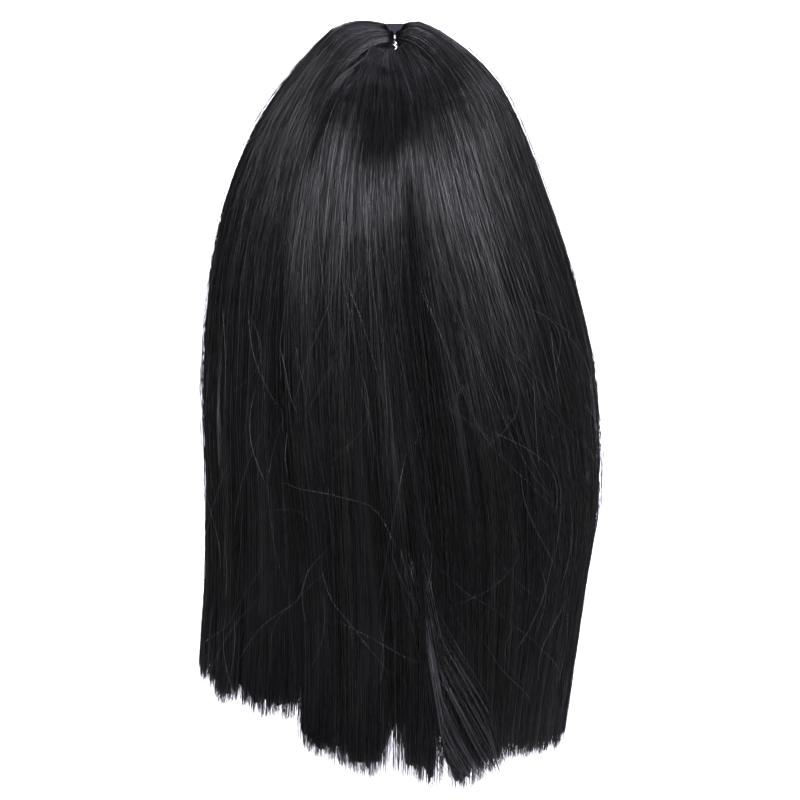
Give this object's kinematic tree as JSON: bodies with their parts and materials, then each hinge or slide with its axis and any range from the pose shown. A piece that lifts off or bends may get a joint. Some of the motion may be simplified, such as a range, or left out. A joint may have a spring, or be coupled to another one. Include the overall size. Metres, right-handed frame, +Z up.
{
  "type": "long straight wig",
  "caption": "Long straight black wig with a centre parting: a stretch cap with a parting strip and falls of hair at the back and both sides, open in front for the face",
  "frame": {"origin": "inside top of the cap, where the crown of the head meets it", "axes": "+X is the wearer's right, +Y is the way the face looks, +Z is up along the wig's length"},
  "size_m": [0.3174, 0.2492, 0.556],
  "materials": {
    "cap_net": "black stretch net, matt",
    "parting_cloth": "fine grey cloth, matt",
    "hair": "straight black synthetic fibre with a soft sheen along the locks"
  },
  "bodies": {
    "root": {"cap": "cap_net", "parting_strip": "parting_cloth", "hair_back": "hair", "hair_left": "hair", "hair_right": "hair"}
  },
  "joints": []
}
